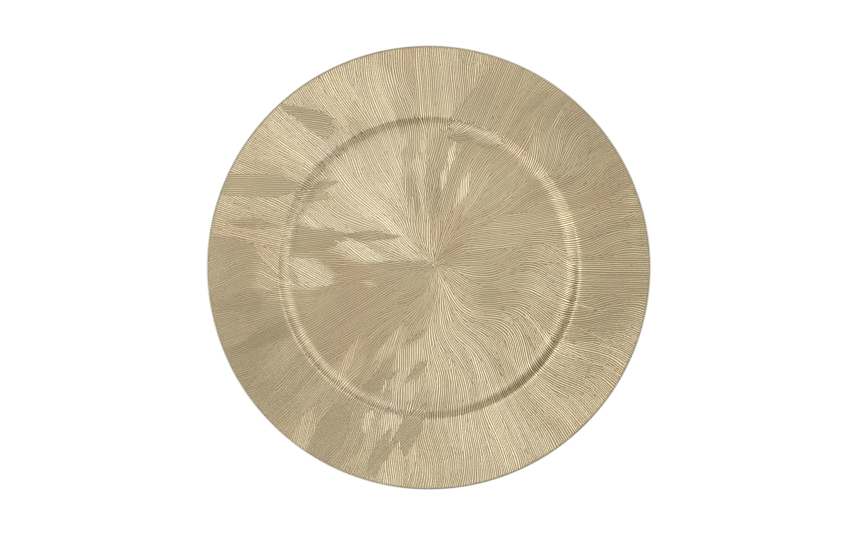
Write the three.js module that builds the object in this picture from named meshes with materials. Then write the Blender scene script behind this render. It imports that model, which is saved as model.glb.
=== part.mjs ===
// A decorative charger plate, in millimetres, +Z up, standing on the plane z = 0.
// A moulded core is glued between an embossed gold face foil and a plain back foil.
// An edge band closes the three layers at the rim, and a foot ring carries the plate.
import * as THREE from 'three';

// Outline of the plate's upper face
const plateDiameter = 330;
const floorDiameter = 202; // the flat floor of the well
const shoulderHeight = 6.2; // from the floor of the well up to the inner end of the rim
const shoulderAngle = 46; // slope of the shoulder's wall, in degrees from level
const filletRadius = 12.8; // hollow curve from the floor into the shoulder, on the face
const crestRadius = 0.3; // curve from the shoulder into the rim, on the underside
const rimAngle = 6; // upward slope of the rim, in degrees from level

// Layers, from the face down
const faceThickness = 0.5;
const coreThickness = 1.8;
const backThickness = 0.4;
const bondGap = 0.1; // glue line between two pieces

// Edge band around the rim
const edgeWidth = 0.8;
const edgeLip = 0.15; // how far the band stands proud of the face and of the back

// Foot ring under the floor of the well
const footDiameter = 190;
const footWidth = 6;
const footHeight = 3;
const footBevel = 1.2; // round on the two lower corners of its section

// Fineness of the round faces
const turnSteps = 72;
const curveSteps = 4;
const edgeSteps = 8;

const wallSlope = THREE.MathUtils.degToRad(shoulderAngle);
const rimSlope = THREE.MathUtils.degToRad(rimAngle);
const plateRadius = plateDiameter / 2;
const floorRadius = floorDiameter / 2;
const layersThickness = faceThickness + bondGap + coreThickness + bondGap + backThickness;
const layersRadius = plateRadius - edgeWidth - bondGap;
const floorZ = footHeight + bondGap + layersThickness;

// Depth of each layer's upper face below the plate's face
const coreDepth = faceThickness + bondGap;
const backDepth = coreDepth + coreThickness + bondGap;

// Points of an arc in the meridian plane, with angles in radians from the outward direction
function arcPoints(centre, radius, startAngle, endAngle, steps) {
  const points = [];
  for (let step = 0; step <= steps; step += 1) {
    const angle = THREE.MathUtils.lerp(startAngle, endAngle, step / steps);
    points.push(new THREE.Vector2(
      centre.x + radius * Math.cos(angle),
      centre.y + radius * Math.sin(angle),
    ));
  }
  return points;
}

// Centres of the two round corners of the shoulder, which every layer shares
const filletCentre = new THREE.Vector2(floorRadius, floorZ + filletRadius);
const crestFaceRadius = crestRadius + layersThickness;
const filletRise = filletRadius * (1 - Math.cos(wallSlope));
const crestRise = crestFaceRadius * (Math.cos(rimSlope) - Math.cos(wallSlope));
const wallRise = shoulderHeight - filletRise - crestRise;
const crestStart = new THREE.Vector2(
  floorRadius + filletRadius * Math.sin(wallSlope) + wallRise / Math.tan(wallSlope),
  floorZ + filletRise + wallRise,
);
const crestCentre = new THREE.Vector2(
  crestStart.x + crestFaceRadius * Math.sin(wallSlope),
  crestStart.y - crestFaceRadius * Math.cos(wallSlope),
);

// Height of the rim's straight slope at a radius, at a depth below the face
function rimHeight(radius, depth) {
  const slopeRadius = crestFaceRadius - depth;
  const slopeStart = new THREE.Vector2(
    crestCentre.x - slopeRadius * Math.sin(rimSlope),
    crestCentre.y + slopeRadius * Math.cos(rimSlope),
  );
  return slopeStart.y + (radius - slopeStart.x) * Math.tan(rimSlope);
}

// The plate's section from the axis to the rim, at a depth below the face
function meridian(depth) {
  const quarter = Math.PI / 2;
  return [
    new THREE.Vector2(0, floorZ - depth),
    ...arcPoints(filletCentre, filletRadius + depth, -quarter, wallSlope - quarter, curveSteps),
    ...arcPoints(crestCentre, crestFaceRadius - depth, quarter + wallSlope, quarter + rimSlope, curveSteps),
    new THREE.Vector2(layersRadius, rimHeight(layersRadius, depth)),
  ];
}

// Turns a section, listed from its lower face round to its upper face, about the plate's axis
function turned(section) {
  const geometry = new THREE.LatheGeometry(section, turnSteps);
  geometry.rotateX(Math.PI / 2);
  return geometry;
}

// One layer of the plate, between two depths below the face
function layer(depth, thickness) {
  return turned([...meridian(depth + thickness), ...meridian(depth).reverse()]);
}

// The edge band: a flat inner side against the layers and a half-round outer side
function edgeBand() {
  const innerRadius = layersRadius + bondGap;
  const top = rimHeight(layersRadius, 0) + edgeLip;
  const bottom = rimHeight(layersRadius, layersThickness) - edgeLip;
  const middle = (top + bottom) / 2;
  const section = [];
  for (let step = 0; step <= edgeSteps; step += 1) {
    const angle = Math.PI * (step / edgeSteps - 0.5);
    section.push(new THREE.Vector2(
      innerRadius + edgeWidth * Math.cos(angle),
      middle + (top - middle) * Math.sin(angle),
    ));
  }
  return turned([...section, section[0].clone()]);
}

// The foot ring: a flat glued top, and a flat tread between two rounded lower corners
function footRing() {
  const outer = footDiameter / 2;
  const inner = outer - footWidth;
  const innerCorner = new THREE.Vector2(inner + footBevel, footBevel);
  const outerCorner = new THREE.Vector2(outer - footBevel, footBevel);
  const half = Math.PI / 2;
  const section = [
    new THREE.Vector2(inner, footHeight),
    ...arcPoints(innerCorner, footBevel, 2 * half, 3 * half, curveSteps),
    ...arcPoints(outerCorner, footBevel, 3 * half, 4 * half, curveSteps),
    new THREE.Vector2(outer, footHeight),
  ];
  return turned([...section, section[0].clone()]);
}

const goldFinish = new THREE.MeshStandardMaterial({ color: 0xbcad8c, roughness: 0.4, metalness: 0.85 });
const edgeFinish = new THREE.MeshStandardMaterial({ color: 0xb9a67c, roughness: 0.3, metalness: 0.85 });
const backFinish = new THREE.MeshStandardMaterial({ color: 0xb39d70, roughness: 0.45, metalness: 0.8 });
const coreFinish = new THREE.MeshStandardMaterial({ color: 0xd8d2c4, roughness: 0.7, metalness: 0 });
const footFinish = new THREE.MeshStandardMaterial({ color: 0xa8946a, roughness: 0.5, metalness: 0.6 });

const plate = new THREE.Group();

function addPiece(name, geometry, material) {
  const piece = new THREE.Mesh(geometry, material);
  piece.name = name;
  plate.add(piece);
}

addPiece('face_foil', layer(0, faceThickness), goldFinish);
addPiece('moulded_core', layer(coreDepth, coreThickness), coreFinish);
addPiece('back_foil', layer(backDepth, backThickness), backFinish);
addPiece('edge_band', edgeBand(), edgeFinish);
addPiece('foot_ring', footRing(), footFinish);

export default plate;
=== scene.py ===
import math
import random
from dataclasses import dataclass

import bmesh
import bpy
import numpy as np
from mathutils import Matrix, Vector
from mathutils.kdtree import KDTree


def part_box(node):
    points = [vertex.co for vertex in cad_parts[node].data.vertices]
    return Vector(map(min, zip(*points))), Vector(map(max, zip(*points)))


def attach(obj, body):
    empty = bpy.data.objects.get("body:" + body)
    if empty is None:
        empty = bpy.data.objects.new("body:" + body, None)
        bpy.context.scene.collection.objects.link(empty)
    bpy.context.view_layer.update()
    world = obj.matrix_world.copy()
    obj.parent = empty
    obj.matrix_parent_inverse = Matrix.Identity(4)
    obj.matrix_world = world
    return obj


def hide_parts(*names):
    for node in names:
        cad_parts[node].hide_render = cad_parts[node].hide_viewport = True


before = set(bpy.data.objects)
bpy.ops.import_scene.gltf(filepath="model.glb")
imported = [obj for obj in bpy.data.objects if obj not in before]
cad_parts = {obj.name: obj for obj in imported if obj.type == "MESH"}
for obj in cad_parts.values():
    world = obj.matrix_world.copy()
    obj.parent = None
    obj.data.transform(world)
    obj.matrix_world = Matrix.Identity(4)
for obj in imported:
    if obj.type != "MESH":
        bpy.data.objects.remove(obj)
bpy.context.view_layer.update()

bl_info = {
    "name": "Combed Gold Charger Plate",
    "version": (1, 0, 0),
    "blender": (4, 5, 0),
    "location": "3D View > Sidebar > Plate",
    "description": "Dresses the charger plate with combed gold foil, a smooth edge and a plain back",
    "category": "Object",
}

MM = 0.001
BODY = "root"
FACE_LOW, FACE_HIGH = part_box("face_foil")
BACK_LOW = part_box("back_foil")[0]
EDGE_LOW, EDGE_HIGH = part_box("edge_band")
FOOT_LOW, FOOT_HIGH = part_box("foot_ring")

# Fineness of the meshes
TURN_STEPS = 256
ARC_STEPS = 10
MERGE_DISTANCE = 0.001 * MM
CREASE = math.radians(35)
RIDGE_CREASE = math.radians(75)

# Vertex attributes that hold the colours of the combed sweeps; the shade also holds painted shade and painted
# highlights along the shoulder
TINT = "sweep_tint"
SHADE = "sweep_shade"


def length_setting(name, description, default):
    """A setting for a length, in metres."""
    return bpy.props.FloatProperty(name=name, description=description, default=default, unit="LENGTH")


def angle_setting(name, description, degrees):
    """A setting for an angle."""
    default = math.radians(degrees)
    return bpy.props.FloatProperty(name=name, description=description, default=default, subtype="ANGLE")


def colour_setting(name, description, default):
    """A setting for a colour, in linear light."""
    return bpy.props.FloatVectorProperty(
        name=name, description=description, default=default, size=3, subtype="COLOR", min=0, max=1)


class PlateShape(bpy.types.PropertyGroup):
    """Sizes of the plate's section, as the solids have them."""

    floor_diameter: length_setting("Floor Diameter", "Flat floor of the well", 0.202)
    shoulder_height: length_setting(
        "Shoulder Height", "Rise from the well's floor to the inner end of the rim", 0.0062)
    shoulder_angle: angle_setting("Shoulder Angle", "Slope of the shoulder's wall from level", 46)
    fillet_radius: length_setting(
        "Fillet Radius", "Hollow curve from the floor into the shoulder", 0.0128)
    crest_radius: length_setting(
        "Crest Radius", "Round curve from the shoulder onto the rim, on the face", 0.0032)
    rim_angle: angle_setting("Rim Angle", "Upward slope of the rim from level", 6)
    face_thickness: length_setting(
        "Face Thickness", "Thickness of the face foil with its relief", 0.0005)
    back_thickness: length_setting("Back Thickness", "Thickness of the back foil", 0.0004)
    edge_width: length_setting("Edge Width", "Width of the smooth band round the rim", 0.0008)
    foot_width: length_setting("Foot Width", "Width of the foot ring", 0.006)
    foot_bevel: length_setting("Foot Bevel", "Round on the foot ring's lower corners", 0.0012)


class CombRelief(bpy.types.PropertyGroup):
    """The combed ridges of the face foil."""

    pitch: length_setting("Pitch", "Distance from one combed ridge to the next", 0.0015)
    ridge_width: length_setting("Ridge Width", "Width of one ridge at its base", 0.00052)
    ridge_height: length_setting("Ridge Height", "Height of a ridge above the grooves", 0.0002)
    burst_centre: bpy.props.FloatVectorProperty(
        name="Burst Centre", description="Point in the well that the sweeps run out from",
        default=(0.0053, 0.001), size=2, subtype="XYZ", unit="LENGTH")
    seed: bpy.props.IntProperty(
        name="Seed", description="Start of the random draws that lay out the sweeps", default=4)


class PlateColours(bpy.types.PropertyGroup):
    """Colours of the plate's finishes and of the floor."""

    ridge_gold: colour_setting(
        "Ridge Gold", "Champagne gold on the combed ridges", (0.627, 0.525, 0.318))
    # Ridge Deep is a more saturated gold with a painted highlight, for the right of the face
    ridge_highlight_gold: colour_setting(
        "Ridge Deep", "Gold on the ridges where they are combed deepest", (0.708, 0.59, 0.347))
    # Groove Gold is the foil's gold darkened by painted shade down in the grooves
    groove_gold_and_shade: colour_setting("Groove Gold", "Darker gold down in the grooves", (0.274, 0.217, 0.123))
    # Groove Deep is a more saturated gold with painted shade, for the right of the face
    groove_shade_gold: colour_setting(
        "Groove Deep", "Gold in the grooves where they are combed deepest", (0.21, 0.162, 0.085))
    # Edge Gold is partly the band's gold and partly painted shade, dark and grey for the line round the rim's
    # edge
    edge_gold_and_shade: colour_setting("Edge Gold", "Smooth gold of the edge band", (0.3, 0.275, 0.215))
    back_gold: colour_setting("Back Gold", "Plain gold of the back foil", (0.52, 0.425, 0.255))
    foot_gold: colour_setting("Foot Gold", "Lacquer on the foot ring", (0.44, 0.355, 0.21))
    core_plastic: colour_setting("Core Plastic", "Moulded plastic inside the plate", (0.69, 0.64, 0.55))
    floor_white: colour_setting("Floor White", "Studio floor", (0.93, 0.93, 0.93))


class Section:
    """The plate's section in the XZ plane: curves that every layer shares."""

    def __init__(self, shape):
        self.wall = shape.shoulder_angle
        self.slope = shape.rim_angle
        self.fillet = shape.fillet_radius
        self.crest = shape.crest_radius
        self.floor_radius = shape.floor_diameter / 2
        self.rim_radius = FACE_HIGH.x
        self.floor_z = FACE_LOW.z + shape.face_thickness
        fillet_rise = self.fillet * (1 - math.cos(self.wall))
        crest_rise = self.crest * (math.cos(self.slope) - math.cos(self.wall))
        wall_rise = shape.shoulder_height - fillet_rise - crest_rise
        wall_run = wall_rise / math.tan(self.wall)
        crest_x = self.floor_radius + self.fillet * math.sin(self.wall) + wall_run
        crest_z = self.floor_z + fillet_rise + wall_rise
        self.fillet_centre = (self.floor_radius, self.floor_z + self.fillet)
        self.crest_centre = (
            crest_x + self.crest * math.sin(self.wall),
            crest_z - self.crest * math.cos(self.wall),
        )

    def rim_height(self, radius, depth):
        """Height of the rim's straight slope at a radius, at a depth below the face."""
        start = self.crest - depth
        x = self.crest_centre[0] - start * math.sin(self.slope)
        z = self.crest_centre[1] + start * math.cos(self.slope)
        return z + (radius - x) * math.tan(self.slope)

    def meridian(self, depth):
        """Points from the axis to the rim's outer end, at a depth below the face."""
        quarter = math.pi / 2
        return [
            (0.0, self.floor_z - depth),
            *arc(self.fillet_centre, self.fillet + depth, -quarter, self.wall - quarter),
            *arc(self.crest_centre, self.crest - depth, quarter + self.wall, quarter + self.slope),
            (self.rim_radius, self.rim_height(self.rim_radius, depth)),
        ]

    def shoulder(self):
        """Inner and outer radius of the curved part between the floor and the rim."""
        return self.floor_radius, self.crest_centre[0]


def arc(centre, radius, start, end, steps=ARC_STEPS):
    """Points of an arc in the section's plane."""
    angles = np.linspace(start, end, steps + 1)
    return [(centre[0] + radius * math.cos(a), centre[1] + radius * math.sin(a)) for a in angles]


def finer(profile, step):
    """A section with more points along its long parts."""
    points = [profile[0]]
    for start, end in zip(profile, profile[1:]):
        parts = math.ceil(math.dist(start, end) / step)
        points.extend(np.linspace(start, end, parts + 1)[1:])
    return points


def spun(name, profile, closed=False, steps=TURN_STEPS):
    """Turns a section about the plate's axis into one closed mesh object."""
    bm = bmesh.new()
    verts = [bm.verts.new((radius, 0.0, height)) for radius, height in profile]
    pairs = list(zip(verts, verts[1:]))
    if closed:
        pairs.append((verts[-1], verts[0]))
    edges = [bm.edges.new(pair) for pair in pairs]
    bmesh.ops.spin(
        bm, geom=verts + edges, cent=(0, 0, 0), axis=(0, 0, 1), dvec=(0, 0, 0),
        angle=2 * math.pi, steps=steps, use_merge=True, use_duplicate=False)
    bmesh.ops.remove_doubles(bm, verts=bm.verts, dist=MERGE_DISTANCE)
    bmesh.ops.recalc_face_normals(bm, faces=bm.faces)
    return mesh_object(name, bm)


def placed(name, data):
    """A new object in the scene."""
    made = bpy.data.objects.new(name, data)
    bpy.context.scene.collection.objects.link(made)
    return made


def mesh_object(name, bm, crease=CREASE):
    """Puts a finished bmesh into a new object at the origin, smooth but for its creases."""
    mesh = bpy.data.meshes.new(name)
    bm.to_mesh(mesh)
    bm.free()
    mesh.polygons.foreach_set("use_smooth", [True] * len(mesh.polygons))
    mesh.set_sharp_from_angle(angle=crease)
    return placed(name, mesh)


def dress(piece, material, node):
    """Gives a piece its finish and its place on the plate, and hides the solid that it stands for."""
    piece.data.materials.append(material)
    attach(piece, BODY)
    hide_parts(node)


# How a patch of lines narrows to its two ends, and how far single lines stick out there, in millimetres
POINT_SHAPE = 0.7
SHORTEST_END = 0.01
RAGGED = 2.0
RAGGED_WIDTH = 1.65
RAGGED_TURN = 2.3


def leaf(travel, distance, half_width, ends, soft):
    """A leaf's hold from 1 to 0 at a share of its length and a distance from its axis."""
    grow = np.clip(travel / ends[0], 0, 1) ** POINT_SHAPE
    fade = np.clip((1 - travel) / ends[1], 0, 1) ** POINT_SHAPE
    return np.clip((half_width * grow * fade - distance) / soft, 0, 1)


@dataclass
class Tuft:
    """A leaf-shaped patch of lines combed in a direction of their own, in millimetres and degrees."""

    x: float
    y: float
    heading: float
    length: float
    half_width: float
    lean: float = 0.0
    bend: float = 0.0
    lead: float = 0.5
    trail: float = 0.5
    tint: float = 0.0
    shade: float = 0.0
    soft: float = 1.0

    def place(self, x, y):
        """Share of the length, and distance from the bent axis, at each point."""
        turn = math.radians(self.heading)
        along = (x - self.x) * math.cos(turn) + (y - self.y) * math.sin(turn)
        across = (y - self.y) * math.cos(turn) - (x - self.x) * math.sin(turn)
        travel = along / self.length
        return travel, across - self.bend * travel ** 2

    def hold(self, travel, offset):
        """How firmly the patch turns the lines at each point; it narrows to its two ragged ends."""
        travel = travel + RAGGED / self.length * np.sin(RAGGED_TURN * np.round(offset / RAGGED_WIDTH))
        ends = max(self.lead, SHORTEST_END), max(self.trail, SHORTEST_END)
        return leaf(travel, np.abs(offset), self.half_width, ends, self.soft)

    def direction(self, travel):
        """Direction of the lines, in radians, at a share of the length."""
        return math.radians(self.heading + self.lean) + np.arctan(2 * self.bend * travel / self.length)


# Tufts, listed by the part of the face that they lie on; a later one lies on top
CHOSEN_TUFTS = (
    # Top of the rim, and top and middle of the well
    Tuft(2, 108, 85, 60, 16, lean=10, lead=0.08, trail=0.0, tint=-0.3, shade=0.1),
    Tuft(27, 102, 51, 72, 15, lean=16, lead=0.05, trail=0.0, shade=-0.3),
    Tuft(6, 4, 86, 98, 13, lean=-13, lead=0.7, trail=0.1, shade=-0.2),
    Tuft(-4, 36, 94, 50, 4, lean=14, tint=-0.3, shade=0.55, soft=2),
    Tuft(-13, 34, 97, 58, 3.5, lean=-8, shade=-0.3, soft=2),
    Tuft(6, 30, 88, 62, 4, lean=-20, shade=-0.6, soft=2),
    Tuft(10, 56, 84, 22, 3.5, lean=12, tint=-0.5, shade=0.8),
    Tuft(15, 72, 80, 24, 4, lean=26, tint=-0.6, shade=0.8),
    Tuft(19, 42, 68, 36, 5.5, lean=20, tint=-0.4, shade=0.8, soft=2),
    Tuft(12, 16, 68, 42, 6, tint=0.9, soft=3),
    Tuft(-4, 78, 93, 22, 5, lean=6, tint=0.5, shade=-0.4, soft=2),
    Tuft(-13, 46, 96, 28, 5, lean=-6, tint=0.6, shade=-0.35, soft=2),
    Tuft(-8, 36, 96, 20, 3, lean=-8, shade=-0.7),
    Tuft(5, 55, 88, 20, 4, lean=8, shade=-0.7),
    Tuft(3, 33, 90, 20, 3, lean=-8, shade=-0.7),
    Tuft(6, 13, 86, 32, 3.5, lean=6, tint=0.7, shade=-0.3),
    Tuft(1, 8, 94, 40, 3, lean=-5, shade=0.2),
    Tuft(-16, 74, 86, 24, 7, lean=-5, tint=-0.3, shade=-0.75, soft=2),
    Tuft(-19, 88, 88, 12, 4, lean=8, shade=0.5),
    Tuft(-4, 86, 91, 14, 5, lean=-7, tint=-0.2, shade=0.45),
    Tuft(2, 56, 93, 26, 4, lean=9, shade=-0.8, soft=2),
    Tuft(22, 14, 18, 76, 14, lean=-14, bend=4),
    Tuft(5, 4, 36, 30, 7, lean=-8, tint=0.85, shade=-0.2, soft=3),
    # Left of the rim and of the well
    Tuft(-112, 121, -18, 44, 9, lean=20, bend=-6, lead=0.8, trail=0.05, shade=-0.5),
    Tuft(-117, 117, -42, 64, 5.5, lead=0.2, trail=0.3, tint=-0.4),
    Tuft(-166, 63, -3, 72, 9, lean=5, lead=0.1, trail=0.3, shade=-0.3),
    Tuft(-166, 42, -12, 62, 5, lean=-6, lead=0.1, tint=0.2),
    Tuft(-152, 34, -4, 46, 4, lean=2, lead=0.3, shade=-0.35),
    Tuft(-162, 27, -8, 40, 3.5, lean=-8, lead=0.2, tint=0.4, shade=0.2),
    Tuft(-101, 54, -3, 30, 5, lean=8, lead=0.3),
    Tuft(-97, 45, -26, 56, 5, lean=-8, lead=0.3, tint=-0.6),
    Tuft(-106, 21, 2, 44, 10, lean=6, lead=0.1, trail=0.4, shade=-0.3),
    Tuft(-100, 39, -24, 26, 5.5, lean=-22, lead=0.2, trail=0.4, tint=-0.5, shade=0.3, soft=3),
    Tuft(-67, 24, -1, 46, 4.4, lean=14, shade=-0.8),
    Tuft(-72, 20, -22, 48, 7.5, lean=-16, lead=0.3, trail=0.5, tint=-1.0, shade=0.4, soft=3),
    Tuft(-28, 20, -30, 38, 4.5, lean=-10, lead=0.4, trail=0.3, tint=-0.8),
    # Lower left, bottom and lower right of the well
    Tuft(0, -2, 206, 102, 21, lean=6, lead=0.8, trail=0.2),
    Tuft(-105, -3, -8, 42, 13, lean=-20, lead=0.05, trail=0.55, tint=-1.0, shade=0.45, soft=3),
    Tuft(-72, -9, 3, 76, 8, lean=4, bend=9, lead=0.3, trail=0.4),
    Tuft(3, 0, 177, 50, 4.5, lean=10, lead=0.6, shade=-0.3),
    Tuft(-50, -11, -8, 12, 4, lead=0.3, trail=0.3, tint=-1.2, shade=0.5, soft=3),
    Tuft(-8, -46, 256, 62, 13, lean=12, trail=0.3),
    Tuft(0, -44, 218, 26, 4.5, lean=-8, shade=-0.3, soft=3),
    Tuft(-28, -42, 238, 46, 6, lean=-4, tint=0.8, shade=-0.2, soft=3),
    Tuft(-17, -39, 236, 56, 5, lean=20, trail=0.4, tint=-0.4, shade=0.6),
    Tuft(-50, -48, 244, 44, 5.5, lean=9, trail=0.3, tint=0.2, shade=0.5, soft=2),
    Tuft(-24, -62, 234, 30, 5.5, lean=8, tint=0.9, shade=-0.1, soft=3),
    Tuft(-36, -66, 238, 30, 4, lean=-8),
    Tuft(-22, -76, 216, 36, 6, lean=-10, shade=-0.5, soft=3),
    Tuft(-31, -80, 256, 18, 2.5, lean=14, shade=0.5),
    Tuft(-14, -74, 240, 26, 3.5, lean=14, tint=-0.3, shade=0.5),
    Tuft(-1, -69, 226, 26, 5, lean=-6, lead=0.3, shade=-0.4, soft=3),
    Tuft(13, -62, 288, 32, 3, lean=-10, shade=0.35),
    Tuft(22, -58, 292, 34, 3, lean=12, shade=-0.4),
    Tuft(30, -62, 300, 34, 3.2, lean=-14, tint=-0.3, shade=0.4),
    Tuft(44, -56, 296, 32, 3, lean=10, shade=-0.4),
    Tuft(52, -54, 304, 34, 3.2, lean=-14, tint=-0.3, shade=0.4),
    Tuft(64, -42, 312, 32, 3, lean=-16, shade=-0.35),
    Tuft(70, -34, 318, 34, 3.4, lean=-12, tint=-0.2, shade=0.35),
    Tuft(48, -10, 30, 30, 4, lean=4, shade=0.25, soft=3),
    # Bottom and right of the rim
    Tuft(-62, -100, 244, 54, 12, lean=-20, lead=0.3, trail=0.1, shade=-0.45),
    Tuft(-84, -102, 246, 44, 8, lean=12, lead=0.3, trail=0.1, tint=0.3, shade=0.35, soft=2),
    Tuft(-42, -104, 252, 20, 4, lean=26, lead=0.3, trail=0.3, tint=-0.4, shade=0.35),
    Tuft(-25, -104, 244, 22, 6, lean=34, lead=0.3, trail=0.3, tint=-0.4, shade=0.25),
    Tuft(-28, -118, 246, 40, 5, lean=-16, lead=0.5, trail=0.1, shade=-0.4),
    Tuft(-3, -102, 237, 54, 8, lean=-14, bend=3, lead=0.3, trail=0.1, shade=-0.4),
    Tuft(-22, -128, 262, 40, 8, lean=14, lead=0.4, trail=0.0),
    Tuft(114, -6, 0, 54, 17, lean=-1, lead=0.05, trail=0.0, soft=5),
    # Across the shoulder
    Tuft(14, 107, -16, 46, 5, lean=54, bend=-3, lead=0.1, trail=0.2, shade=0.2),
    Tuft(13, 97, 2, 22, 4.5, lean=4, shade=-0.5, soft=2),
    Tuft(33, 92, -8, 22, 3.5, lean=34, shade=-0.5, soft=2),
    Tuft(70, 67, -28, 22, 5, lean=60, shade=-0.35, soft=3),
    Tuft(-90, 58, 18, 24, 5.5, lean=-6, trail=0.6, shade=-0.5, soft=2),
    Tuft(-131, 19, -43, 48, 6, lead=0.3, trail=0.3),
)

# Slim tufts that are scattered by turns, in degrees, out to a reach in millimetres
FEATHER_COUNT = 60
FEATHER_TURN = 137.5
FEATHER_REACH = 150
FEATHER_START = 0.005
FEATHER_STRAY = 7


def scattered_feathers(centre, draw):
    """Slim tufts all over the face, which stray a little from the burst's own direction."""
    feathers = []
    for index in range(FEATHER_COUNT):
        turn = index * FEATHER_TURN + draw(-FEATHER_STRAY, FEATHER_STRAY)
        radius = FEATHER_REACH * math.sqrt(draw(FEATHER_START, 1))
        feather = Tuft(
            x=centre[0] + radius * math.cos(math.radians(turn)),
            y=centre[1] + radius * math.sin(math.radians(turn)),
            heading=turn + draw(-5, 5), length=draw(25, 60), half_width=draw(2.2, 4), lean=draw(-14, 14),
            bend=draw(-4, 4), lead=draw(0.4, 0.7), trail=draw(0.4, 0.6), tint=draw(-0.4, 0.4), soft=2)
        feather.shade = -feather.tint
        feathers.append(feather)
    return feathers


@dataclass
class BundleRow:
    """A ring of bundles that start at about one radius, with sizes in millimetres."""

    radius: float
    count: int
    length: float
    half_width: float


# Rows from the rim to the middle, so that the tips of each row lie over the roots of the one before
BUNDLE_ROWS = (
    BundleRow(134, 40, 40, 12),
    BundleRow(110, 36, 58, 11),
    BundleRow(76, 28, 52, 10),
    BundleRow(44, 20, 46, 8),
    BundleRow(14, 12, 42, 5),
)
# A bundle's axis, its two ends as shares of its length, and its soft side in millimetres
BUNDLE_STEP = 1.0
FEWEST_STEPS = 5
BUNDLE_ENDS = (0.12, 0.45)
BUNDLE_SIDE = 2.0
# How far a bundle strays from the others of its row in place, direction, size and colour
STRAY_PLACE = 0.35
STRAY_RADIUS = 8
STRAY_LEAN = 8
STRAY_LENGTH = (0.8, 1.25)
STRAY_WIDTH = (0.6, 1.2)
STRAY_TINT = 0.35
STRAY_SHADE = 0.4


@dataclass
class Spot:
    """A broad, soft spot on the face, in millimetres, where something has more or less of an amount."""

    x: float
    y: float
    radius: float
    amount: float

    def strength(self, x, y):
        """The amount at each point, which fades with the distance."""
        distance = np.hypot(x - self.x, y - self.y) / self.radius
        return self.amount * np.exp(-distance ** 2)


@dataclass
class Band:
    """A soft band round part of the shoulder, in millimetres and degrees, with more or less of an amount."""

    radius: float
    width: float
    middle: float
    spread: float
    amount: float

    def strength(self, x, y):
        """The amount at each point, which fades to both sides and to both ends of the band."""
        away = (np.hypot(x, y) - self.radius) / self.width
        turn = (np.degrees(np.arctan2(y, x)) - self.middle + 180) % 360 - 180
        return self.amount * np.exp(-away ** 2 - (turn / self.spread) ** 2)


# Turns of the flow, in degrees, listed from the right of the face round by the top and the left
CHOSEN_BENDS = (
    Spot(60, 6, 15, 16), Spot(88, 14, 16, -20), Spot(44, 34, 24, -38), Spot(66, 42, 13, 24),
    Spot(84, 80, 20, 16), Spot(104, 58, 16, -28), Spot(126, 74, 18, 18), Spot(30, 112, 18, -34),
    Spot(0, 116, 18, 18), Spot(-8, 44, 20, -22), Spot(-52, 40, 30, -9), Spot(-92, 24, 18, 22),
    Spot(-152, -8, 20, 40), Spot(-117, -3, 14, -34), Spot(-30, -32, 22, -22), Spot(38, -32, 20, 28),
    Spot(78, -50, 17, -24), Spot(132, -36, 36, 10), Spot(98, -92, 36, 4), Spot(68, -116, 22, -14),
)

# Tints, from pale at -1 to rose at 1, listed in the same order
CHOSEN_BLUSHES = (
    Spot(66, 10, 16, -0.5), Spot(140, 52, 30, 0.5), Spot(12, 34, 20, 0.5), Spot(-6, 156, 24, 0.7),
    Spot(-40, 50, 44, -1.0), Spot(-60, 128, 40, -0.35), Spot(-140, 22, 24, 0.7), Spot(-74, 10, 18, 0.9),
    Spot(-50, -34, 40, 0.9), Spot(0, -70, 40, -0.3), Spot(40, -130, 44, -0.5),
)

# Shades, from dark at -1 to light at 1
CHOSEN_LIFTS = (
    Spot(150, -10, 40, -0.2), Spot(60, 35, 40, 0.65), Spot(110, 110, 50, -0.4), Spot(-8, 60, 16, -1.0),
    Spot(-28, 66, 24, 0.2), Spot(-45, 55, 40, 0.35), Spot(-60, 128, 40, -0.2), Spot(-110, 100, 30, 0.2),
    Spot(-132, 50, 24, 0.25), Spot(-70, 14, 20, -0.4), Spot(-140, -60, 60, -0.6), Spot(-98, -98, 40, -0.3),
    # Spot(100, -58) is a painted highlight on the rim beside the shoulder's crest
    Spot(-35, -55, 20, -0.2), Spot(0, -70, 40, 0.3), Spot(20, -140, 40, -0.15), Spot(100, -58, 14, 0.7),
    Spot(98, -98, 50, -0.3), Spot(52, -37, 30, -0.2), Spot(134, -36, 40, -0.2), Spot(12, 138, 24, -0.4),
    Spot(25, 58, 18, -0.2),
)

# Painted shade and painted highlights along the shoulder's fillet, wall and crest, listed from the right
PAINTED_SHOULDER_LIGHT = (
    Band(105, 2.4, -2, 18, 0.4), Band(110.3, 1.5, -2, 16, -0.5), Band(113.2, 1.3, 5, 22, 0.8),
    Band(103.5, 3.0, 150, 14, -0.7), Band(109.5, 2.0, 155, 14, 0.5), Band(109.5, 2.5, 180, 14, 0.5),
    Band(99.5, 3.0, 180, 12, -0.4), Band(105.5, 2.5, 212, 16, 0.7), Band(113.2, 1.3, 210, 16, 0.9),
    Band(102.5, 3.0, 270, 16, -0.5), Band(108.5, 2.6, 322, 30, -1.0), Band(113.3, 1.4, 322, 30, 1.0),
    Band(102.5, 2.0, 336, 18, 0.5),
)

# The grid over the face, in millimetres, and the smooth flow of the lines on it
GRID_STEP = 0.8
GRID_MARGIN = 2
CALM_RADIUS = 40
SWIRL = math.radians(6)
SWIRL_LENGTHS = (45, 110)
RIPPLE = math.radians(2)
RIPPLE_LENGTHS = (15, 34)
SWAY = math.radians(10)
SWAY_LENGTH = 70
SWAY_START = 58
SWAY_MORE_RIGHT = 0.4
BLUSH_DRIFT = 0.2
BLUSH_LENGTHS = (45, 90)


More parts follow.
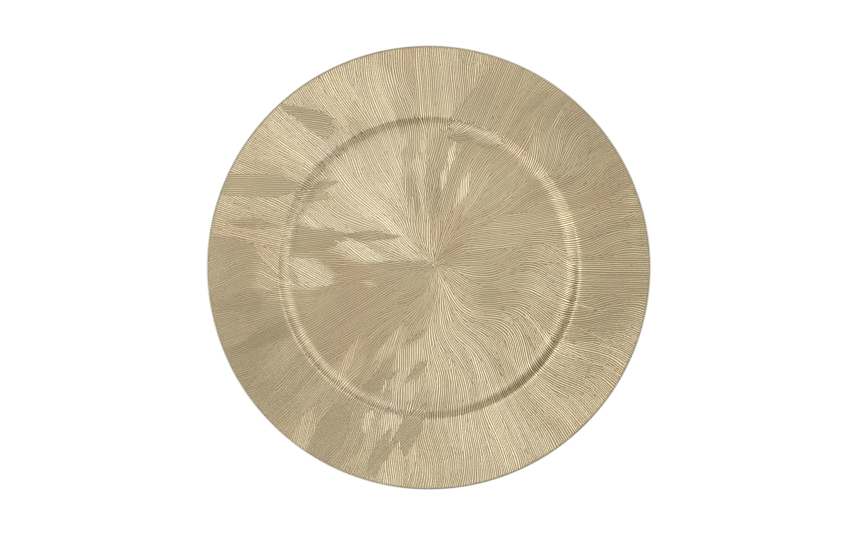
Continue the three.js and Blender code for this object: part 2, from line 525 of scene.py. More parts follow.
class Flow:
    """Direction, tint and shade of the combed lines on a grid over the face, in millimetres."""

    def __init__(self, comb, reach):
        draw = random.Random(comb.seed).uniform
        self.reach = reach
        self.half = math.ceil(reach / GRID_STEP) + GRID_MARGIN
        ticks = np.arange(-self.half, self.half + 1) * GRID_STEP
        self.x, self.y = np.meshgrid(ticks, ticks)
        self.centre = [value / MM for value in comb.burst_centre]
        self.angle, calm = self.burst(draw)
        ripple = calm * RIPPLE * self.waves(draw, *RIPPLE_LENGTHS)
        drift = BLUSH_DRIFT * self.waves(draw, *BLUSH_LENGTHS)
        self.blush = drift + self.total(CHOSEN_BLUSHES)
        # The lift holds the chosen shades together with the shoulder's painted shade and painted highlights
        self.lift_and_painted_light = self.total((*CHOSEN_LIFTS, *PAINTED_SHOULDER_LIGHT))
        self.smooth = self.angle.copy()
        self.tint = self.blush.copy()
        self.shade = self.lift_and_painted_light.copy()
        self.lay_bundles(draw)
        for tuft in (*scattered_feathers(self.centre, draw), *CHOSEN_TUFTS):
            travel, offset = tuft.place(self.x, self.y)
            self.lay(tuft.hold(travel, offset), tuft.direction(travel), tuft.tint, tuft.shade)
        self.tint = np.clip(self.tint, -1, 1)
        self.shade = np.clip(self.shade, -1, 1)
        self.along_x = np.cos(self.angle + ripple)
        self.along_y = np.sin(self.angle + ripple)

    def burst(self, draw):
        """The smooth flow out from the burst's centre, and a share that grows away from the centre."""
        right, up = self.x - self.centre[0], self.y - self.centre[1]
        outwards = np.arctan2(up, right)
        calm = np.clip(np.hypot(right, up) / CALM_RADIUS, 0, 1)
        away = np.hypot(self.x, self.y) - SWAY_START
        sway = np.cos(2 * math.pi * away / SWAY_LENGTH) * (1 + SWAY_MORE_RIGHT * np.cos(outwards))
        angle = outwards + calm * (SWIRL * self.waves(draw, *SWIRL_LENGTHS) + SWAY * sway)
        for bend in CHOSEN_BENDS:
            angle += np.radians(bend.strength(self.x, self.y))
        return angle, calm

    def waves(self, draw, shortest, longest, count=7):
        """Smooth hills and hollows over the face: a sum of waves with lengths in a range."""
        total = np.zeros_like(self.x)
        for _ in range(count):
            turn, phase = draw(0, 2 * math.pi), draw(0, 2 * math.pi)
            number = 2 * math.pi / draw(shortest, longest)
            total += np.sin(number * (self.x * math.cos(turn) + self.y * math.sin(turn)) + phase)
        return total / math.sqrt(count)

    def total(self, areas):
        """What some spots or bands add up to on the grid."""
        return sum(area.strength(self.x, self.y) for area in areas)

    def lay(self, hold, direction, tint, shade, window=slice(None)):
        """Turns the lines under a patch towards its direction, and gives them its tint and shade."""
        change = direction - self.angle[window]
        self.angle[window] += hold * ((change + math.pi / 2) % math.pi - math.pi / 2)
        self.tint[window] += hold * (self.blush[window] + tint - self.tint[window])
        self.shade[window] += hold * (self.lift_and_painted_light[window] + shade - self.shade[window])

    def lay_bundles(self, draw):
        """Lays all the rows of bundles over the smooth flow."""
        for row in BUNDLE_ROWS:
            for index in range(row.count):
                turn = 2 * math.pi * (index + draw(-STRAY_PLACE, STRAY_PLACE)) / row.count
                radius = row.radius + draw(-STRAY_RADIUS, STRAY_RADIUS)
                x = self.centre[0] + radius * math.cos(turn)
                y = self.centre[1] + radius * math.sin(turn)
                length = row.length * draw(*STRAY_LENGTH)
                lean = math.radians(draw(-1, 1) * STRAY_LEAN)
                tint = draw(-STRAY_TINT, STRAY_TINT)
                shade = draw(-STRAY_SHADE, STRAY_SHADE)
                half_width = row.half_width * draw(*STRAY_WIDTH)
                axis = self.axis(x, y, length, lean)
                if len(axis) >= FEWEST_STEPS:
                    window, hold, nearest = self.strip(axis, half_width)
                    self.lay(hold, axis[nearest, 2], tint, shade, window)

    def axis(self, x, y, length, lean):
        """A line along the smooth flow from a start: rows of x, y and direction."""
        rows = []
        while len(rows) * BUNDLE_STEP < length and math.hypot(x, y) < self.reach:
            turn = self.smooth[self.cell(x, y)] + lean
            rows.append((x, y, turn))
            x += BUNDLE_STEP * math.cos(turn)
            y += BUNDLE_STEP * math.sin(turn)
        return np.array(rows)

    def strip(self, axis, half_width):
        """The grid window round an axis, how firmly it turns each cell, and the cell's nearest row."""
        low = self.cell(*np.clip(axis[:, :2].min(axis=0) - half_width, -self.reach, self.reach))
        high = self.cell(*np.clip(axis[:, :2].max(axis=0) + half_width, -self.reach, self.reach))
        window = slice(low[0], high[0] + 1), slice(low[1], high[1] + 1)
        along = self.x[window][..., None] - axis[:, 0]
        across = self.y[window][..., None] - axis[:, 1]
        distance = np.hypot(along, across)
        nearest = distance.argmin(axis=-1)
        travel = nearest / (len(axis) - 1)
        return window, leaf(travel, distance.min(axis=-1), half_width, BUNDLE_ENDS, BUNDLE_SIDE), nearest

    def cell(self, x, y):
        """The grid cell of a point."""
        return round(y / GRID_STEP) + self.half, round(x / GRID_STEP) + self.half

    def colour(self, piece):
        """Writes the tint and the shade under each vertex of a piece into two attributes."""
        places = np.empty(3 * len(piece.data.vertices))
        piece.data.vertices.foreach_get("co", places)
        columns, rows, _ = np.rint(places.reshape(-1, 3) / MM / GRID_STEP).astype(int).T + self.half
        for key, grid in ((TINT, self.tint), (SHADE, self.shade)):
            piece.data.attributes.new(key, "FLOAT", "POINT").data.foreach_set("value", grid[rows, columns])

    def direction(self, x, y):
        """The lines' direction at a point, as the two parts of a unit step."""
        cell = self.cell(x, y)
        return self.along_x[cell], self.along_y[cell]


# How the lines are drawn: steps and lengths in millimetres, gaps as shares of the pitch
TRACE_STEP = 0.5
MAP_STEP = 0.15
MAP_MARGIN = 2
END_GAP = 0.62
START_GAP = 0.76
TUCK_STEPS = 2
SHORTEST_LINE = 3.0
LONGEST_HALF = 120.0
SAME_DIRECTION = math.cos(math.radians(16))
SEED_STRIDE = 6


class Comb:
    """Draws lines along a flow, side by side a pitch apart, until the face is full."""

    def __init__(self, flow, pitch, reach):
        self.flow = flow
        self.pitch = pitch
        self.reach = reach
        size = math.ceil(2 * (reach + pitch) / MAP_STEP) + MAP_MARGIN
        self.end_map, self.end_disc = np.zeros((size, size), bool), disc(END_GAP * pitch)
        self.start_map, self.start_disc = np.zeros((size, size), bool), disc(START_GAP * pitch)
        self.lines = []

    def spot(self, x, y):
        """The cell of a point on the two maps of what is taken."""
        edge = self.reach + self.pitch
        return int((y + edge) / MAP_STEP), int((x + edge) / MAP_STEP)

    def on_face(self, x, y):
        """Whether a point lies within the combed face."""
        return x * x + y * y < self.reach * self.reach

    def trace(self, x, y, way):
        """Points of a line from a seed, with or against the flow, up to where it has to end."""
        points = []
        ahead = self.flow.direction(x, y)
        tucks = TUCK_STEPS
        while len(points) * TRACE_STEP < LONGEST_HALF and tucks:
            x += way * ahead[0] * TRACE_STEP
            y += way * ahead[1] * TRACE_STEP
            if not self.on_face(x, y):
                break
            turned = self.flow.direction(x, y)
            smooth = ahead[0] * turned[0] + ahead[1] * turned[1] > SAME_DIRECTION
            if tucks == TUCK_STEPS and smooth and not self.end_map[self.spot(x, y)]:
                ahead = turned
            else:
                tucks -= 1
            points.append((x, y))
        return points

    def stamp(self, taken, shape, spot):
        """Marks the cells round a spot as taken."""
        half = len(shape) // 2
        rows = slice(max(spot[0] - half, 0), spot[0] + half + 1)
        columns = slice(max(spot[1] - half, 0), spot[1] + half + 1)
        patch = taken[rows, columns]
        patch |= shape[:patch.shape[0], :patch.shape[1]]

    def fill(self, seeds):
        """Draws a line through each free seed; the seeds beside a new line join the list."""
        for x, y in seeds:
            if not self.on_face(x, y) or self.start_map[self.spot(x, y)]:
                continue
            points = [*reversed(self.trace(x, y, -1)), (x, y), *self.trace(x, y, 1)]
            if len(points) * TRACE_STEP < SHORTEST_LINE:
                continue
            self.lines.append(np.array(points))
            for point in points:
                self.stamp(self.end_map, self.end_disc, self.spot(*point))
                self.stamp(self.start_map, self.start_disc, self.spot(*point))
            for px, py in points[::SEED_STRIDE]:
                along = self.flow.direction(px, py)
                seeds.append((px - self.pitch * along[1], py + self.pitch * along[0]))
                seeds.append((px + self.pitch * along[1], py - self.pitch * along[0]))

    def fill_face(self):
        """Draws lines from the middle outwards, and then in each place that is still bare."""
        self.fill([(0.0, 0.0)])
        ticks = np.arange(-self.reach, self.reach, GRID_STEP)
        for y in ticks:
            for x in ticks:
                self.fill([(x, y)])
        return self.lines


def disc(radius):
    """A round patch of map cells."""
    half = int(radius / MAP_STEP)
    y, x = np.mgrid[-half:half + 1, -half:half + 1]
    return x * x + y * y <= half * half


# Limits of a ridge's width and of its own strength, and how it shifts between its neighbours
NARROWEST = 0.6
WIDEST = 1.5
WEAKEST = 0.78
STRONGEST = 1.22
SHIFT_SHARE = 0.25
SMOOTHING = (0.25, 0.5, 0.25)


class Crowd:
    """All the lines together, to even out the gaps between each and its neighbours."""

    def __init__(self, lines, pitch, reach):
        self.lines = lines
        self.pitch = pitch
        self.reach = reach
        self.owners = [number for number, points in enumerate(lines) for _ in points]
        self.tree = KDTree(len(self.owners))
        for index, (x, y) in enumerate(np.concatenate(lines)):
            self.tree.insert((x, y, 0), index)
        self.tree.balance()

    def settle(self, number, kept):
        """Some points of a line, moved to even out the gaps beside it, and the line's width at each."""
        points = self.lines[number]
        along = np.gradient(points, axis=0)
        along /= np.linalg.norm(along, axis=1)[:, None]
        gaps = np.array([self.gaps(number, points[place], along[place]) for place in kept])
        shift = np.pad(SHIFT_SHARE * (gaps[:, 0] - gaps[:, 1]), 1, mode="edge")
        shift = np.convolve(shift, SMOOTHING, mode="valid")
        settled = points[kept] + shift[:, None] * along[kept][:, ::-1] * (-1, 1)
        settled *= np.minimum(1, self.reach / np.linalg.norm(settled, axis=1))[:, None]
        return settled, np.maximum(NARROWEST, gaps.mean(axis=1) / self.pitch)

    def gaps(self, number, point, along):
        """Distances to the nearest other line on the left and on the right of a point."""
        sides = [WIDEST * self.pitch, WIDEST * self.pitch]
        for found, index, _ in self.tree.find_range((*point, 0), WIDEST * self.pitch):
            x, y = found.x - point[0], found.y - point[1]
            if self.owners[index] == number or abs(x * along[0] + y * along[1]) > TRACE_STEP:
                continue
            across = y * along[0] - x * along[1]
            side = 0 if across > 0 else 1
            sides[side] = min(sides[side], abs(across))
        return sides


# Spacing of a ridge's points on the flat and on the shoulder, in millimetres, and the samples in each tip
FLAT_STEP = 4.0
SHOULDER_STEP = 1.3
FEWEST_PARTS = 2
TIP_SAMPLES = 2


def needed(points, shoulder):
    """Places of the points that a ridge needs: close on the shoulder's curves and at its ends."""
    radii = np.linalg.norm(points, axis=1)
    curved = (radii > shoulder[0] - FLAT_STEP / 2) & (radii < shoulder[1] + FLAT_STEP / 2)
    spacing = np.where(curved, SHOULDER_STEP, FLAT_STEP)
    travelled = np.concatenate(([0.0], np.cumsum(TRACE_STEP / spacing[:-1])))
    wanted = np.linspace(0, travelled[-1], max(FEWEST_PARTS, math.ceil(travelled[-1])) + 1)
    last = len(points) - 1
    chosen = np.searchsorted(travelled, wanted)
    chosen = chosen[(chosen > 2 * TIP_SAMPLES) & (chosen < last - 2 * TIP_SAMPLES)]
    chosen = np.concatenate(([0, TIP_SAMPLES], chosen, [last - TIP_SAMPLES, last]))
    return np.unique(chosen)


# A ridge: its depth in the skin, its flanks as shares of its half width and height, and its narrow tips
RIDGE_SINK = 0.05 * MM
RIDGE_FLANK = 0.55
RIDGE_HAUNCH = 0.66
TIP_SCALE = 0.5


def ridge_outline(comb):
    """Section of one ridge: a low round back, with its base sunk into the skin."""
    half = comb.ridge_width / 2
    top = comb.ridge_height
    curve = bpy.data.curves.new("ridge_outline", "CURVE")
    curve.dimensions = "2D"
    spline = curve.splines.new("POLY")
    corners = (
        (-half, -RIDGE_SINK),
        (half, -RIDGE_SINK),
        (half * RIDGE_FLANK, top * RIDGE_HAUNCH),
        (0.0, top),
        (-half * RIDGE_FLANK, top * RIDGE_HAUNCH),
    )
    spline.points.add(len(corners) - 1)
    for point, (x, y) in zip(spline.points, corners):
        point.co = (x, y, 0, 1)
    spline.use_cyclic_u = True
    return placed("ridge_outline", curve)


def combed_ridges(name, lines, comb, section):
    """Sweeps the ridge's outline along the lines, laid on the skin, and makes them one mesh."""
    skin = np.array(section.meridian(comb.ridge_height))
    outline = ridge_outline(comb)
    curve = bpy.data.curves.new(name + "_paths", "CURVE")
    curve.dimensions = "3D"
    curve.twist_mode = "Z_UP"
    curve.bevel_mode = "OBJECT"
    curve.bevel_object = outline
    curve.use_fill_caps = True
    for points, widths in lines:
        heights = np.interp(np.linalg.norm(points, axis=1), skin[:, 0], skin[:, 1])
        spline = curve.splines.new("POLY")
        spline.points.add(len(points) - 1)
        path = np.column_stack((points, heights, np.ones(len(points))))
        spline.points.foreach_set("co", path.ravel())
        widths[[0, -1]] *= TIP_SCALE
        spline.points.foreach_set("radius", widths)
        spline.use_smooth = True
    paths = placed(curve.name, curve)
    evaluated = paths.evaluated_get(bpy.context.evaluated_depsgraph_get())
    swept = bpy.data.meshes.new_from_object(evaluated)
    bm = bmesh.new()
    bm.from_mesh(swept)
    bmesh.ops.remove_doubles(bm, verts=bm.verts, dist=MERGE_DISTANCE)
    bmesh.ops.recalc_face_normals(bm, faces=bm.faces)
    for used in (paths, outline):
        bpy.data.objects.remove(used)
    bpy.data.meshes.remove(swept)
    return mesh_object(name, bm, crease=RIDGE_CREASE)


@dataclass
class Texture:
    """How a finish varies over a piece: sizes and depth in metres, tones and roughness as shares."""

    drift: float
    darkest: float
    lightest: float
    patch: float
    patch_spread: float
    grain: float
    grain_depth: float


FOIL = Texture(
    drift=45 * MM, darkest=0.94, lightest=1.05, patch=6 * MM, patch_spread=0.05,
    grain=0.35 * MM, grain_depth=0.01 * MM)
MOULDING = Texture(
    drift=20 * MM, darkest=0.95, lightest=1.04, patch=4 * MM, patch_spread=0.06,
    grain=0.5 * MM, grain_depth=0.02 * MM)

# The middle range of a noise, and the fineness of the noise that makes a grain
NOISE_RANGE = (0.3, 0.7)
GRAIN_DETAIL = 3.0
# Places of a mix node's colours, whose names its other sockets have too
MIX_FIRST = 6
MIX_SECOND = 7
MIX_RESULT = 2


def toned(colour, share):
    """A colour made darker or lighter by a share."""
    return tuple(min(1.0, value * share) for value in colour)


class Finish:
    """A material under construction, with its nodes and links."""

    def __init__(self, name):
        self.material = bpy.data.materials.new(name)
        self.material.use_nodes = True
        self.tree = self.material.node_tree
        self.shader = self.tree.nodes["Principled BSDF"]
        self.coords = self.node("ShaderNodeTexCoord", {}).outputs["Object"]

    def node(self, kind, inputs, **settings):
        """A new node with its settings and its inputs."""
        made = self.tree.nodes.new(kind)
        for key, value in settings.items():
            setattr(made, key, value)
        self.fill(made, inputs)
        return made

    def fill(self, node, inputs):
        """Gives each of some inputs of a node a constant or another node's output."""
        for key, value in inputs.items():
            target = node.inputs[key]
            if isinstance(value, bpy.types.NodeSocket):
                self.tree.links.new(value, target)
            else:
                target.default_value = (*value, 1) if target.type == "RGBA" else value

    def noise(self, size, detail=2.0):
        """Noise over the object, with features of about a size in metres."""
        inputs = {"Scale": 1 / size, "Detail": detail, "Vector": self.coords}
        return self.node("ShaderNodeTexNoise", inputs).outputs["Fac"]

    def share(self, value, none, full, low=0.0, high=1.0):
        """How far a value is on its way from none to full, as a number from low to high."""
        inputs = {"Value": value, "From Min": none, "From Max": full, "To Min": low, "To Max": high}
        return self.node("ShaderNodeMapRange", inputs).outputs["Result"]

    def spread(self, noise, low, high):
        """A noise's middle range spread between two numbers."""
        return self.share(noise, *NOISE_RANGE, low, high)

    def larger(self, first, second):
        """The larger of two values."""
        return self.node("ShaderNodeMath", {0: first, 1: second}, operation="MAXIMUM").outputs["Value"]

    def near(self, point, inner, outer):
        """From 1 within an inner distance of a point down to 0 at an outer distance."""
        made = self.node("ShaderNodeVectorMath", {0: self.coords, 1: point}, operation="DISTANCE")
        return self.share(made.outputs["Value"], outer, inner)

    def product(self, first, second):
        """Two colours multiplied; the second may be an amount for each of three values."""
        made = self.node("ShaderNodeVectorMath", {0: first, 1: second}, operation="MULTIPLY")
        return made.outputs["Vector"]

    def blend(self, factor, first, second):
        """Two colours mixed by a factor; each is a colour or a socket."""
        inputs = {"Factor": factor, MIX_FIRST: first, MIX_SECOND: second}
        return self.node("ShaderNodeMix", inputs, data_type="RGBA").outputs[MIX_RESULT]

    def drift(self, colour, texture):
        """A colour that drifts softly between a darker and a lighter tone."""
        factor = self.spread(self.noise(texture.drift), 0.0, 1.0)
        return self.blend(factor, toned(colour, texture.darkest), toned(colour, texture.lightest))

    def surface(self, tone, roughness, metallic, texture):
        """Gives the shader its colour, an uneven roughness, its metal and a fine grain."""
        low, high = roughness - texture.patch_spread, roughness + texture.patch_spread
        height = self.noise(texture.grain, GRAIN_DETAIL)
        bump = {"Strength": 1.0, "Distance": texture.grain_depth, "Height": height}
        self.fill(self.shader, {
            "Base Color": tone,
            "Roughness": self.spread(self.noise(texture.patch), low, high),
            "Metallic": metallic,
            "Normal": self.node("ShaderNodeBump", bump).outputs["Normal"],
        })


# What the sweeps' tints and shades, at -1 and at 1, multiply the gold by
PALE_TINT = (1.06, 1.11, 1.24)
ROSE_TINT = (0.98, 0.885, 0.855)
DARK_SHADE = (0.77, 0.75, 0.69)
LIGHT_SHADE = (1.23, 1.25, 1.31)
PLAIN = (1.0, 1.0, 1.0)


def sweep_tone(finish):
    """What the tint and the shade of the sweeps multiply a colour by."""
    tint = finish.node("ShaderNodeAttribute", {}, attribute_name=TINT).outputs["Fac"]
    level = finish.node("ShaderNodeAttribute", {}, attribute_name=SHADE).outputs["Fac"]
    pale = finish.blend(finish.share(tint, 0.0, -1.0), PLAIN, PALE_TINT)
    hue = finish.blend(finish.share(tint, 0.0, 1.0), pale, ROSE_TINT)
    return finish.product(hue, finish.blend(finish.share(level, -1.0, 1.0), DARK_SHADE, LIGHT_SHADE))


# Where the painted highlights on the ridges and the painted shade in the grooves are strongest, at the right
# of the face, and how far from there they fade
RIGHT_LIGHT_SPOT = (0.13, -0.015, 0.01)
RIGHT_LIGHT_NEAR = 0.06
RIGHT_LIGHT_FAR = 0.185
# Distances from the middle of the plate between which the shoulder's wall rises
WALL_MIDDLE = (0.0, 0.0, 0.009)
WALL_START = (0.101, 0.107)
WALL_END = (0.115, 0.113)
# A circle that takes in the right of the wall, short of its crest, where the painted shade and painted
# highlights are strongest
STRONG_PAINT_MIDDLE = (0.05, -0.005, 0.009)
STRONG_PAINT_NEAR = 0.06
STRONG_PAINT_FAR = 0.062
# What the grooves are multiplied by for painted shade, and the ridges for painted highlights, on the wall and
# more strongly on its right stretch
GROOVE_WALL_SHADE = ((0.72, 0.72, 0.72), (0.5, 0.45, 0.34))
RIDGE_WALL_HIGHLIGHT = ((1.3, 1.3, 1.3), (1.42, 1.42, 1.4))


def painted_wall_light(finish, tone, wall):
    """A colour that changes on the shoulder's wall, by painted shade in the grooves and painted highlights on
    the ridges, and more at its right.
    """
    usual, sharp = (finish.product(tone, amounts) for amounts in wall)
    painted_tone = finish.blend(finish.near(STRONG_PAINT_MIDDLE, STRONG_PAINT_NEAR, STRONG_PAINT_FAR), usual, sharp)
    inside = finish.blend(finish.near(WALL_MIDDLE, WALL_END[1], WALL_END[0]), tone, painted_tone)
    return finish.blend(finish.near(WALL_MIDDLE, WALL_START[1], WALL_START[0]), tone, inside)


# The clear coat over the foils
FULL_COAT = 1.0
COAT_ROUGHNESS = 0.22
COAT_IOR = 2.3


def foil_finish(name, colour, roughness, painted_right_colour=None, wall=None, coat=FULL_COAT):
    """Metallised gold foil: satin metal with a soft drift of tone, a fine grain and a clear coat."""
    finish = Finish(name)
    tone = finish.drift(colour, FOIL)
    # On the face: a painted highlight on the ridges and painted shade in the grooves towards the right, then
    # the sweeps' tints and shades and the painted light on the shoulder's wall
    if painted_right_colour:
        tone = finish.blend(finish.near(RIGHT_LIGHT_SPOT, RIGHT_LIGHT_NEAR, RIGHT_LIGHT_FAR), tone, painted_right_colour)
        tone = painted_wall_light(finish, finish.product(tone, sweep_tone(finish)), wall)
    finish.surface(tone, roughness, metallic=1.0, texture=FOIL)
    cover = {"Coat Weight": coat, "Coat Roughness": COAT_ROUGHNESS, "Coat IOR": COAT_IOR}
    finish.fill(finish.shader, cover)
    return finish.material


def moulded_finish(name, colour, roughness, metallic):
    """Moulded plastic, bare or lacquered, with a faint mould grain."""
    finish = Finish(name)
    finish.surface(finish.drift(colour, MOULDING), roughness, metallic, MOULDING)
    return finish.material


def ridge_groups(crowd, section, seed):
    """The lines of the well and of the rim, each with the points and the widths that its ridge needs."""
    draw = random.Random(seed).uniform
    shoulder = [radius / MM for radius in section.shoulder()]
    groups = {"combed_well": [], "combed_rim": []}
    for number, points in enumerate(crowd.lines):
        middle = np.linalg.norm(points, axis=1).mean()
        name = "combed_well" if middle < shoulder[1] else "combed_rim"
        settled, widths = crowd.settle(number, needed(points, shoulder))
        groups[name].append((settled * MM, widths * draw(WEAKEST, STRONGEST)))
    return groups


# Fineness of the face's skin, and how far its ridges stop short of the rim's end, as a share of their width
SKIN_STEP = 1.5 * MM
SKIN_TURN_STEPS = 400
END_INSET = 0.25
# Roughness of each finish, the thinner coat in the grooves, and the metal in the foot ring's lacquer
GROOVE_ROUGHNESS = 0.55
GROOVE_COAT = 0.3
RIDGE_ROUGHNESS = 0.42
EDGE_ROUGHNESS = 0.3
BACK_ROUGHNESS = 0.4
FOOT_ROUGHNESS = 0.45
FOOT_METAL = 0.8
CORE_ROUGHNESS = 0.6


class PLATE_OT_combed_face(bpy.types.Operator):
    """Make the gold skin of the face, and the combed ridges on its well and on its rim"""

    bl_idname = "plate.combed_face"
    bl_label = "Combed Face"

    def execute(self, context):
        scene = context.scene
        comb = scene.comb_relief
        colours = scene.plate_colours
        section = Section(scene.plate_shape)
        reach = (section.rim_radius - comb.ridge_width * END_INSET) / MM
        flow = Flow(comb, reach)
        upper = finer(section.meridian(comb.ridge_height), SKIN_STEP)
        lower = section.meridian(scene.plate_shape.face_thickness)
        skin = spun("face_skin", [*upper, *reversed(lower)], steps=SKIN_TURN_STEPS)
        groove = foil_finish(
            "groove_gold_and_shade", colours.groove_gold_and_shade, GROOVE_ROUGHNESS,
            colours.groove_shade_gold, GROOVE_WALL_SHADE, GROOVE_COAT)
        ridge = foil_finish(
            "ridge_gold", colours.ridge_gold, RIDGE_ROUGHNESS, colours.ridge_highlight_gold, RIDGE_WALL_HIGHLIGHT)
        flow.colour(skin)
        dress(skin, groove, "face_foil")
        lines = Comb(flow, comb.pitch / MM, reach).fill_face()
        crowd = Crowd(lines, comb.pitch / MM, reach)
        for name, group in ridge_groups(crowd, section, comb.seed).items():
            ridges = combed_ridges(name, group, comb, section)
            flow.colour(ridges)
            dress(ridges, ridge, "face_foil")
        return {"FINISHED"}


class PLATE_OT_edge_band(bpy.types.Operator):
    """Make the smooth half-round band that closes the rim"""

    bl_idname = "plate.edge_band"
    bl_label = "Edge Band"

    def execute(self, context):
        scene = context.scene
        width = scene.plate_shape.edge_width
        inner = EDGE_HIGH.x - width
        middle = (EDGE_LOW.z + EDGE_HIGH.z) / 2
        half = (EDGE_HIGH.z - EDGE_LOW.z) / 2
        angles = np.linspace(-math.pi / 2, math.pi / 2, 2 * ARC_STEPS + 1)
        profile = [(inner + width * math.cos(a), middle + half * math.sin(a)) for a in angles]
        band = spun("edge_band_smooth", profile, closed=True)
        finish = foil_finish("edge_gold_and_shade", scene.plate_colours.edge_gold_and_shade, EDGE_ROUGHNESS)
        dress(band, finish, "edge_band")
        return {"FINISHED"}


class PLATE_OT_back_skin(bpy.types.Operator):
    """Make the plain gold foil on the underside"""

    bl_idname = "plate.back_skin"
    bl_label = "Back Skin"

    def execute(self, context):
        scene = context.scene
        section = Section(scene.plate_shape)
        depth = section.floor_z - BACK_LOW.z
        upper = section.meridian(depth - scene.plate_shape.back_thickness)
        lower = section.meridian(depth)
        skin = spun("back_skin", [*upper, *reversed(lower)])
        finish = foil_finish("back_gold", scene.plate_colours.back_gold, BACK_ROUGHNESS)
        dress(skin, finish, "back_foil")
        return {"FINISHED"}


class PLATE_OT_foot_ring(bpy.types.Operator):
    """Make the ring that the plate stands on"""

    bl_idname = "plate.foot_ring"
    bl_label = "Foot Ring"

    def execute(self, context):
        scene = context.scene
        shape = scene.plate_shape
        outer = FOOT_HIGH.x
        inner = outer - shape.foot_width
        bevel = shape.foot_bevel
        quarter = math.pi / 2
        low = FOOT_LOW.z + bevel
        profile = [
            (inner, FOOT_HIGH.z),
            *arc((inner + bevel, low), bevel, 2 * quarter, 3 * quarter),
            *arc((outer - bevel, low), bevel, 3 * quarter, 4 * quarter),
            (outer, FOOT_HIGH.z),
        ]
        ring = spun("foot_ring_turned", profile, closed=True)
        gold = scene.plate_colours.foot_gold
        finish = moulded_finish("foot_lacquer", gold, FOOT_ROUGHNESS, FOOT_METAL)
        dress(ring, finish, "foot_ring")
        return {"FINISHED"}


class PLATE_OT_core_finish(bpy.types.Operator):
    """Give the moulded core inside the plate its plain plastic finish"""

    bl_idname = "plate.core_finish"
    bl_label = "Core Finish"

    def execute(self, context):
        plastic = context.scene.plate_colours.core_plastic
        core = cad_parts["moulded_core"]
        core.data.materials.clear()
        core.data.materials.append(moulded_finish("core_plastic", plastic, CORE_ROUGHNESS, metallic=0.0))
        return {"FINISHED"}


# The white floor: its half size and its gap under the foot ring in metres, and how much of it glows
FLOOR_HALF = 6.0
FLOOR_GAP = 0.2 * MM
FLOOR_ROUGHNESS = 0.9
FLOOR_GLOW = 0.93


def make_floor(white):
    """A wide white floor just under the foot ring; it looks white and keeps a soft shadow."""
    bm = bmesh.new()
    bmesh.ops.create_grid(bm, x_segments=1, y_segments=1, size=FLOOR_HALF)
    bmesh.ops.translate(bm, verts=bm.verts, vec=(0, 0, FOOT_LOW.z - FLOOR_GAP))
    floor = mesh_object("floor", bm)
    finish = Finish("floor_white")
    finish.fill(finish.shader, {"Base Color": white, "Roughness": FLOOR_ROUGHNESS})
    rays = finish.node("ShaderNodeLightPath", {}).outputs
    seen = finish.larger(rays["Is Camera Ray"], rays["Is Glossy Ray"])
    seen = finish.larger(seen, rays["Is Transmission Ray"])
    factor = finish.share(seen, 0.0, 1.0, 0.0, FLOOR_GLOW)
    glow = finish.node("ShaderNodeEmission", {}).outputs["Emission"]
    mixed = finish.node("ShaderNodeMixShader", {0: factor, 1: finish.shader.outputs["BSDF"], 2: glow})
    finish.fill(finish.tree.nodes["Material Output"], {"Surface": mixed.outputs["Shader"]})
    floor.data.materials.append(finish.material)


# Two side lamps across the plate, a smaller key lamp, four low strips and a wide lamp above, each with its
# azimuth and elevation in degrees, its distance, width and height in metres, and its level
LAMPS = {
    "right_lamp": (30, 40, 1.7, 3.2, 1.6, 1.75),
    "left_lamp": (215, 27, 1.7, 2.9, 1.5, 2.1),
    "key_lamp": (160, 61, 1.7, 1.4, 0.8, 1.7),
    "right_strip": (10, 6, 1.7, 1.6, 0.3, 1.3),
    "left_strip": (210, 6, 1.7, 0.9, 0.3, 1.2),
    "front_strip": (316, 8, 1.7, 2.4, 0.35, 1.4),
    "back_strip": (85, 8, 1.7, 2.4, 0.35, 1.2),
    "top_lamp": (90, 90, 2.2, 7.6, 7.6, 0.55),
}
LAMP_WHITE = (0.985, 1.0, 1.02)
STUDIO_GREY = (0.37, 0.353, 0.31, 1)


def make_lamp(name, azimuth, elevation, distance, width, height, level):
    """A soft lamp of an even level, turned towards the plate."""
    lamp = bpy.data.lights.new(name, "AREA")
    lamp.shape = "RECTANGLE"
    lamp.size = width
    lamp.size_y = height
    lamp.energy = level * math.pi * width * height
    lamp.color = LAMP_WHITE
    holder = placed(name, lamp)
    a, e = math.radians(azimuth), math.radians(elevation)
    towards = Vector((math.cos(a) * math.cos(e), math.sin(a) * math.cos(e), math.sin(e)))
    holder.location = towards * distance
    holder.rotation_euler = towards.to_track_quat("Z", "Y").to_euler()


def make_lamps():
    """All the lamps, and an even grey around them."""
    for name, settings in LAMPS.items():
        make_lamp(name, *settings)
    world = bpy.data.worlds.new("studio_grey")
    bpy.context.scene.world = world
    world.use_nodes = True
    grey = world.node_tree.nodes["Background"]
    grey.inputs["Color"].default_value = STUDIO_GREY
    grey.inputs["Strength"].default_value = 1.0


# The photograph's width, the size of its pixels on the plate, and the plate's place in it
IMAGE_WIDTH = 855
PIXEL_SIZE = 0.7425 * MM
PLATE_OFFSET_PIXELS = (1.25, -0.1)
LENS = 85.0
SENSOR_WIDTH = 36.0


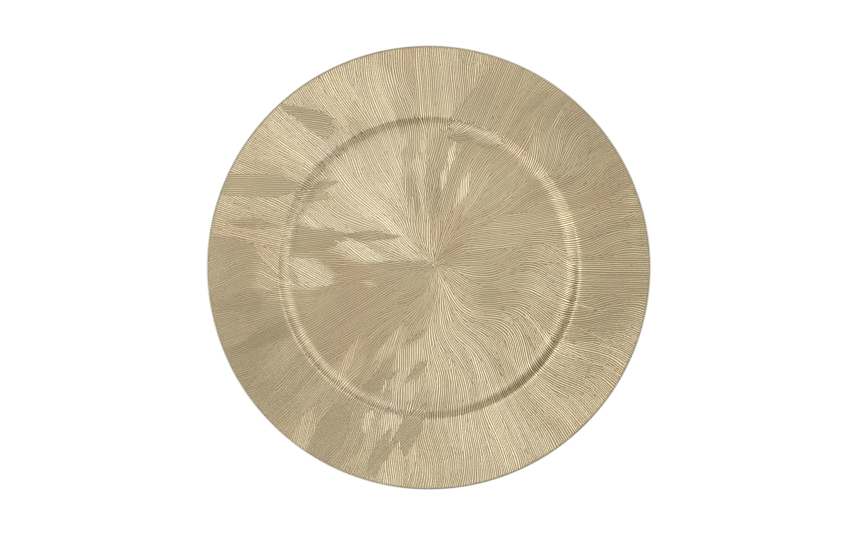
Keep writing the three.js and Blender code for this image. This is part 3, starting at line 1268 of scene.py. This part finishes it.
def make_camera():
    """A camera straight above the plate, which frames it as the photograph does."""
    camera = bpy.data.cameras.new("camera")
    camera.lens = LENS
    camera.sensor_width = SENSOR_WIDTH
    camera.dof.use_dof = False
    holder = placed("camera", camera)
    height = IMAGE_WIDTH * PIXEL_SIZE * LENS / SENSOR_WIDTH
    aside = [-pixels * PIXEL_SIZE for pixels in PLATE_OFFSET_PIXELS]
    holder.location = (*aside, EDGE_HIGH.z + height)
    bpy.context.scene.camera = holder


class PLATE_OT_stage(bpy.types.Operator):
    """Make the white floor, the soft lamps and the camera straight above the plate"""

    bl_idname = "plate.stage"
    bl_label = "Stage"

    def execute(self, context):
        scene = context.scene
        scene.view_settings.view_transform = "Standard"
        make_floor(scene.plate_colours.floor_white)
        make_lamps()
        make_camera()
        return {"FINISHED"}


class PLATE_PT_panel(bpy.types.Panel):
    """Lists the plate's pieces in the sidebar"""

    bl_idname = "PLATE_PT_panel"
    bl_label = "Charger Plate"
    bl_space_type = "VIEW_3D"
    bl_region_type = "UI"
    bl_category = "Plate"

    def draw(self, context):
        for operator in OPERATORS:
            self.layout.operator(operator.bl_idname)
        for group in (context.scene.plate_shape, context.scene.comb_relief, context.scene.plate_colours):
            for name in group.__annotations__:
                self.layout.prop(group, name)


OPERATORS = (
    PLATE_OT_combed_face,
    PLATE_OT_edge_band,
    PLATE_OT_back_skin,
    PLATE_OT_foot_ring,
    PLATE_OT_core_finish,
    PLATE_OT_stage,
)
CLASSES = (PlateShape, CombRelief, PlateColours, *OPERATORS, PLATE_PT_panel)


def register():
    """Adds the classes and the scene's plate settings."""
    for cls in CLASSES:
        bpy.utils.register_class(cls)
    bpy.types.Scene.plate_shape = bpy.props.PointerProperty(type=PlateShape)
    bpy.types.Scene.comb_relief = bpy.props.PointerProperty(type=CombRelief)
    bpy.types.Scene.plate_colours = bpy.props.PointerProperty(type=PlateColours)


def unregister():
    """Takes the settings and the classes away again."""
    del bpy.types.Scene.plate_colours
    del bpy.types.Scene.comb_relief
    del bpy.types.Scene.plate_shape
    for cls in reversed(CLASSES):
        bpy.utils.unregister_class(cls)


def main():
    """Builds the whole scene."""
    register()
    bpy.ops.plate.combed_face()
    bpy.ops.plate.edge_band()
    bpy.ops.plate.back_skin()
    bpy.ops.plate.foot_ring()
    bpy.ops.plate.core_finish()
    bpy.ops.plate.stage()


if __name__ == "__main__":
    main()
